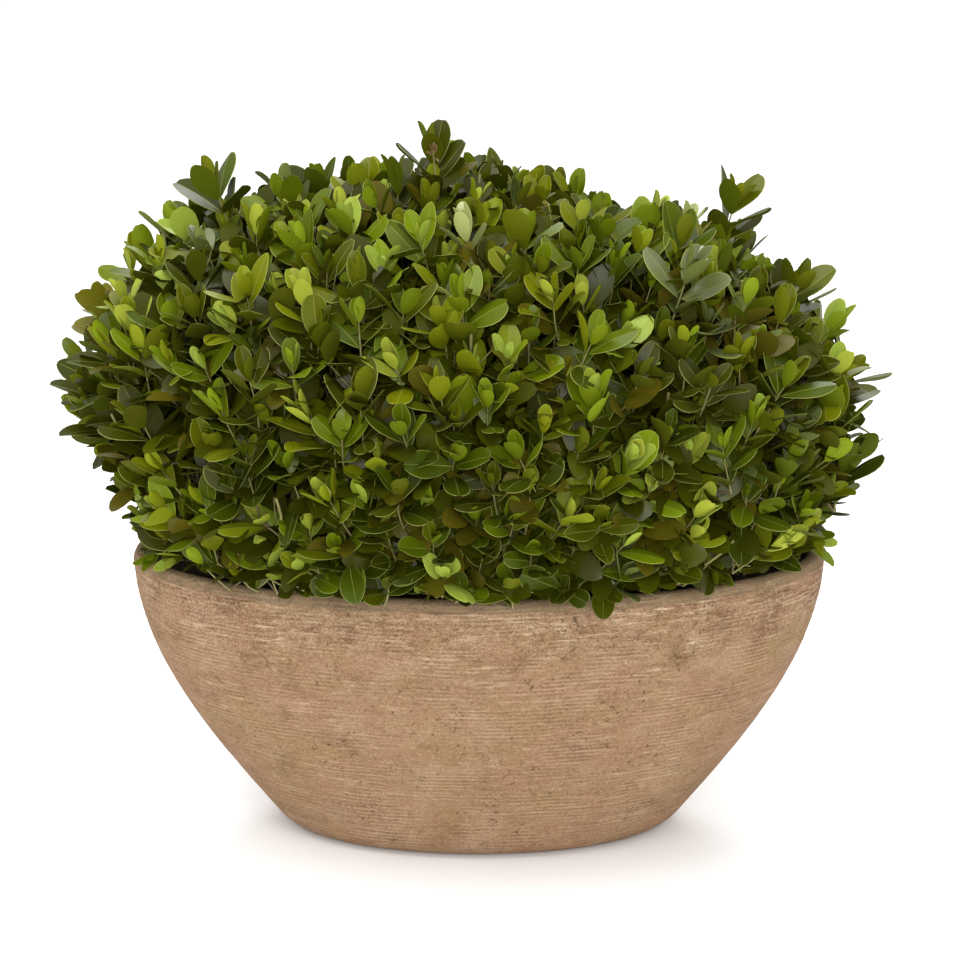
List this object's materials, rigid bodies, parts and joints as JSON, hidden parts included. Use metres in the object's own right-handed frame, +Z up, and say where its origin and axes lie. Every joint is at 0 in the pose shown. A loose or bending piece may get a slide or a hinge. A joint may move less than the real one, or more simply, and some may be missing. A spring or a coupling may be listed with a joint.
{
  "type": "boxwood bush in an oval pot",
  "caption": "Dense rounded boxwood bush growing from a single hidden stem in an oval, unglazed clay bowl pot with a rounded lip and a flat underside.",
  "frame": {"origin": "middle of the pot's flat underside", "axes": "+X along the pot's length, +Y to the back, +Z up; -Y is the front"},
  "size_m": [0.4079, 0.2664, 0.3431],
  "materials": {
    "clay": "unglazed, combed and weathered",
    "earth": "crumbly",
    "bark": "rough",
    "leaf_green": "satin"
  },
  "bodies": {
    "root": {"pot": "clay", "soil": "earth", "stem": "bark", "bough_right": "bark", "bough_back_right": "bark", "bough_back": "bark", "bough_back_left": "bark", "bough_left": "bark", "bough_front_left": "bark", "bough_front": "bark", "bough_front_right": "bark", "bough_top_left": "bark", "bough_top": "bark", "bough_top_right": "bark", "foliage_right": "leaf_green", "foliage_back_right": "leaf_green", "foliage_back": "leaf_green", "foliage_back_left": "leaf_green", "foliage_left": "leaf_green", "foliage_front_left": "leaf_green", "foliage_front": "leaf_green", "foliage_front_right": "leaf_green", "foliage_top_left": "leaf_green", "foliage_top": "leaf_green", "foliage_top_right": "leaf_green"}
  },
  "joints": []
}
